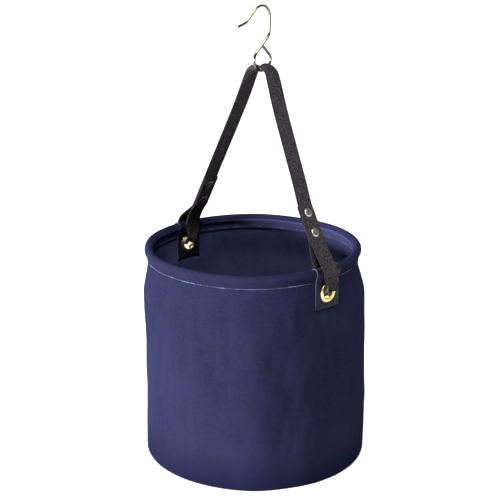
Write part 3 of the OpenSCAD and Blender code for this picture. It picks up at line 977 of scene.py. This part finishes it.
def make_canvas(name, deep, pale, faded):
    s = Shader(name, Diffuse_Roughness=0.6)
    s.surface.inputs["Specular IOR Level"].default_value = 0.004
    where = s.place()
    streak_place = s.node("Mapping", Vector=where, Scale=(90.0, 90.0, 14.0)).outputs[0]
    patchy = s.math("MULTIPLY", s.noise(where, 11.0, 5.0), 0.6)
    streaky = s.math("MULTIPLY", s.noise(streak_place, 1.0, 3.0), 0.4)
    cloud = s.ramp(s.math("ADD", patchy, streaky), 0.36, 0.64)
    mottle = s.ramp(s.noise(where, 330.0, 3.0), 0.35, 0.65)
    slub_place = s.node("Mapping", Vector=where, Scale=(60.0, 60.0, 900.0)).outputs[0]
    slub = s.ramp(s.noise(slub_place, 1.0, 2.0), 0.35, 0.75)
    weave = s.weave(0.75 * MM, 0.85 * MM)
    body = s.mix(cloud, deep, pale)
    body = s.mix(s.math("MULTIPLY", mottle, 0.5), body, faded)
    threads = s.mix(s.math("MULTIPLY", slub, 0.4), body, faded)
    cloth = s.mix(s.math("MULTIPLY_ADD", weave, -0.45, 0.45), threads, CLOTH_GAPS)
    # painted shade: the canvas is darkened towards the bottom, below about 55 mm up, standing in for the
    # shade low on the wall
    above_painted_foot_shade = s.ramp(s.node("SeparateXYZ", Vector=where).outputs[2], -0.010, 0.055)
    s.colour(s.mix(above_painted_foot_shade, CLOTH_FOOT_PAINTED_SHADE, cloth))
    fuzz = s.noise(where, 2600.0, 2.0)
    s.bump(s.math("MULTIPLY_ADD", fuzz, 0.35, weave), 0.16 * MM, 0.8)
    s.rough(s.ramp(s.noise(where, 40.0), -4.0, 1.0))
    return s.material


def make_thread():
    s = Shader("thread_blue", Roughness=0.6, Sheen_Weight=0.1)
    where = s.place()
    light = s.ramp(s.noise(where, 150.0, 4.0), 0.50, 0.68)
    s.colour(s.mix(light, THREAD_DARK, THREAD_LIGHT))
    strand = s.node("TexWave", Vector=where, Scale=700.0, Distortion=2.0)
    s.bump(strand.outputs["Fac"], 0.08 * MM)
    return s.material


def make_webbing():
    s = Shader("webbing_black", Roughness=0.85, Diffuse_Roughness=1.0)
    s.surface.inputs["Specular IOR Level"].default_value = 0.01
    where = s.place()
    weave = s.weave(2.1 * MM, 1.7 * MM)
    speck = s.ramp(s.noise(where, 620.0, 3.0), 0.38, 0.66)
    worn = s.ramp(s.noise(where, 35.0, 3.0), 0.35, 0.8)
    low = s.mix(worn, WEBBING_LOW, WEBBING_LOW_WORN)
    high = s.mix(speck, WEBBING_HIGH, WEBBING_SPECK)
    body = s.mix(s.math("POWER", weave, 2.2), low, high)
    uv = s.node("SeparateXYZ", Vector=s.node("UVMap", set_uv_map="cloth").outputs[0])
    selvedge = s.ramp(s.math("ABSOLUTE", uv.outputs[0]), STRAP_W / 2 - 1.3 * MM, STRAP_W / 2 - 0.4 * MM)
    s.colour(s.mix(s.math("MULTIPLY", selvedge, 0.4), body, WEBBING_EDGE))
    fuzz = s.noise(where, 3000.0, 2.0)
    s.bump(s.math("MULTIPLY_ADD", fuzz, 0.3, weave), 0.35 * MM, 0.9)
    return s.material


def make_vinyl(name, dark, light, roughness):
    s = Shader(name, Roughness=roughness)
    s.surface.inputs["Specular IOR Level"].default_value = 0.08
    where = s.place()
    grain = s.node("TexVoronoi", Vector=where, Scale=1100.0, set_feature="SMOOTH_F1").outputs[0]
    cloud = s.ramp(s.noise(where, 60.0, 3.0), 0.3, 0.75)
    s.colour(s.mix(cloud, dark, light))
    s.bump(s.math("MULTIPLY_ADD", s.noise(where, 160.0, 3.0), 1.5, grain), 0.10 * MM, 0.7)
    s.rough(s.ramp(cloud, -1.4, 3.2))
    return s.material


def make_metal(name, dark, light, roughness, scratch):
    s = Shader(name, Metallic=1.0)
    where = s.place()
    cloud = s.ramp(s.noise(where, 120.0, 3.0), 0.3, 0.75)
    s.colour(s.mix(cloud, dark, light))
    lines = s.noise(s.node("Mapping", Vector=where, Scale=scratch).outputs[0], 1.0, 3.0)
    s.rough(s.math("MULTIPLY_ADD", lines, 0.18, roughness - 0.09))
    s.bump(s.math("ADD", lines, s.noise(where, 400.0, 2.0)), 0.03 * MM, 0.5)
    return s.material


def make_plain(name, dark, light):
    s = Shader(name, Roughness=0.7)
    where = s.place()
    grain = s.noise(where, 220.0, 4.0)
    s.colour(s.mix(s.ramp(grain, 0.3, 0.7), dark, light))
    s.bump(grain, 0.1 * MM, 0.6)
    return s.material


canvas = make_canvas(
    "canvas_navy", rgb(0.0053, 0.0058, 0.0180), rgb(0.0097, 0.0105, 0.0285), rgb(0.0128, 0.0140, 0.0330)
)
# painted light: the inside of the wall and the base lining get the same canvas several times lighter and
# bluer, standing in for the light that reaches the inside
canvas_inside_painted_light = make_canvas(
    "canvas_inside_painted_light", rgb(0.021, 0.0235, 0.062), rgb(0.032, 0.036, 0.088), rgb(0.038, 0.042, 0.098)
)
thread = make_thread()
webbing = make_webbing()
vinyl = make_vinyl("vinyl_black", rgb(0.0026, 0.0030, 0.0072), rgb(0.0060, 0.0066, 0.0135), 0.36)
vinyl_edge = make_vinyl("vinyl_cut_edge", rgb(0.012, 0.013, 0.026), rgb(0.065, 0.068, 0.105), 0.6)
FINE_GRAIN, RIVET_GRAIN, DRAWN_WIRE = (900.0, 900.0, 900.0), (700.0, 700.0, 700.0), (260.0, 260.0, 1800.0)
brass = make_metal("brass", rgb(0.50, 0.39, 0.13), rgb(0.74, 0.61, 0.26), 0.33, FINE_GRAIN)
nickel = make_metal("nickel", rgb(0.45, 0.43, 0.37), rgb(0.66, 0.63, 0.56), 0.30, RIVET_GRAIN)
rivet_dark = make_metal("rivet_back_dark", rgb(0.05, 0.05, 0.052), rgb(0.13, 0.125, 0.12), 0.42, RIVET_GRAIN)
# painted dark reflection: the wire's colour is kept far darker than zinc, standing in for darker surroundings
# in its reflections; its cloudy tone varies at random
zinc_painted_dark_reflection = make_metal("zinc_wire", rgb(0.085, 0.083, 0.050), rgb(0.200, 0.196, 0.135), 0.20, DRAWN_WIRE)
board = make_plain("stiffening_board", rgb(0.10, 0.10, 0.105), rgb(0.16, 0.16, 0.165))
tube_plastic = make_plain("hoop_tube", rgb(0.04, 0.04, 0.045), rgb(0.07, 0.07, 0.075))


# ---------------------------------------------------------------- putting it together


def finish_piece(obj, material, slot, body, *nodes):
    if material:
        obj.data.materials.append(material)
    if body:
        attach(obj, body)
    if nodes:
        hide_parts(*nodes)
    return obj


finish_piece(canvas_wall(), None, "canvas", "bucket", "canvas_wall")
finish_piece(side_seam(), canvas, "canvas", "bucket")
finish_piece(base_cloth(), canvas, "canvas", "bucket", "base_cloth")
# the lining gets the lighter inside copy of the canvas: painted light
finish_piece(base_lining(), canvas_inside_painted_light, "canvas", "bucket", "base_lining")

outer_row = round_row("rim_thread_outside", NECK_R + 0.05 * MM, NECK_Z, False)
hem_row = round_row("rim_thread_inside", NECK_IN - 0.02 * MM, ROLL_Z - HEM_H + 3 * MM, True)
for sewn in (outer_row, hem_row, seam_rows(), base_rows()):
    finish_piece(sewn, thread, "canvas", "bucket")

for name, side in SIDES.items():
    finish_piece(patch(side), None, "vinyl", "bucket", f"patch_{name}")
    finish_piece(eyelet(side), brass, "eyelet_brass", "bucket", f"eyelet_{name}")
    finish_piece(eyelet_washer(side), brass, "eyelet_brass", "bucket", f"eyelet_washer_{name}")
    finish_piece(rivet_heads(side), nickel, "rivet_nickel", "handle", f"rivet_heads_{name}")
    finish_piece(rivet_backs(side), rivet_dark, "rivet_nickel", "handle", f"rivet_backs_{name}")

webbing_strap = strap()
finish_piece(
    webbing_strap, webbing, "webbing", None,
    "handle_strap", "strap_loop_left", "strap_loop_right", "strap_end_left", "strap_end_right",
)
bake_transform(webbing_strap)

finish_piece(hook(), zinc_painted_dark_reflection, "zinc_wire", "hook", "hook")

for node, material in {"base_board": board, "rim_hoop": tube_plastic, "hoop_joiner": tube_plastic}.items():
    cad_object = frame["nodes"][node]
    cad_object.data.materials.clear()
    cad_object.data.materials.append(material)


# ---------------------------------------------------------------- floor, light and camera


def floor():
    half = 12.0
    corners = [(-half, -half, 0), (half, -half, 0), (half, half, 0), (-half, half, 0)]
    piece = new_object("floor", corners, [(0, 1, 2, 3)])
    s = Shader("floor_pale", Roughness=0.9)
    s.colour(s.mix(s.noise(s.place(), 3.0), rgb(0.86, 0.86, 0.86), rgb(0.88, 0.88, 0.88)))
    piece.data.materials.append(s.material)


def soft_light(name, place, target, size, power):
    data = bpy.data.lights.new(name, "AREA")
    data.shape = "DISK"
    data.size = size
    data.energy = power
    lamp = bpy.data.objects.new(name, data)
    bpy.context.scene.collection.objects.link(lamp)
    lamp.location = place
    lamp.rotation_euler = (Vector(target) - Vector(place)).to_track_quat("-Z", "Y").to_euler()


VIEW_AZIMUTH = math.radians(48.16)
VIEW_DOWN = math.radians(17.656)
VIEW_ASIDE = math.radians(0.135)
VIEW_DISTANCE = 1.751
VIEW_HEIGHT = 0.8485
FOCAL = 95.4
SENSOR = 36
WORLD_STRENGTH = 0.20
to_camera = Vector((math.sin(VIEW_AZIMUTH), -math.cos(VIEW_AZIMUTH), 0))
to_right = Vector((math.cos(VIEW_AZIMUTH), math.sin(VIEW_AZIMUTH), 0))


def from_view(right, towards, up):
    """A place given as seen by the camera: right of the bucket, towards the camera, and up."""
    return to_right * right + to_camera * towards + Vector((0, 0, up))


def camera():
    data = bpy.data.cameras.new("camera")
    data.lens = FOCAL
    data.sensor_width = SENSOR
    made = bpy.data.objects.new("camera", data)
    bpy.context.scene.collection.objects.link(made)
    made.location = from_view(0, VIEW_DISTANCE, VIEW_HEIGHT)
    made.rotation_euler = (math.pi / 2 - VIEW_DOWN, 0, VIEW_AZIMUTH + VIEW_ASIDE)
    bpy.context.scene.camera = made


floor()
camera()
centre = (0, 0, 0.25)
soft_light("key", from_view(-4.60, 2.6, 0.62), centre, 0.8, 1700)
soft_light("backdrop", from_view(0, -7.0, 4.5), from_view(0, -7.0, 0), 5.0, 620)
soft_light("top", from_view(0.0, 2.2, 4.4), centre, 2.0, 430)

world = bpy.data.worlds.new("studio")
bpy.context.scene.world = world
world.use_nodes = True
world.node_tree.nodes["Background"].inputs["Color"].default_value = (1, 1, 1, 1)
world.node_tree.nodes["Background"].inputs["Strength"].default_value = WORLD_STRENGTH
bpy.context.scene.view_settings.view_transform = "Standard"
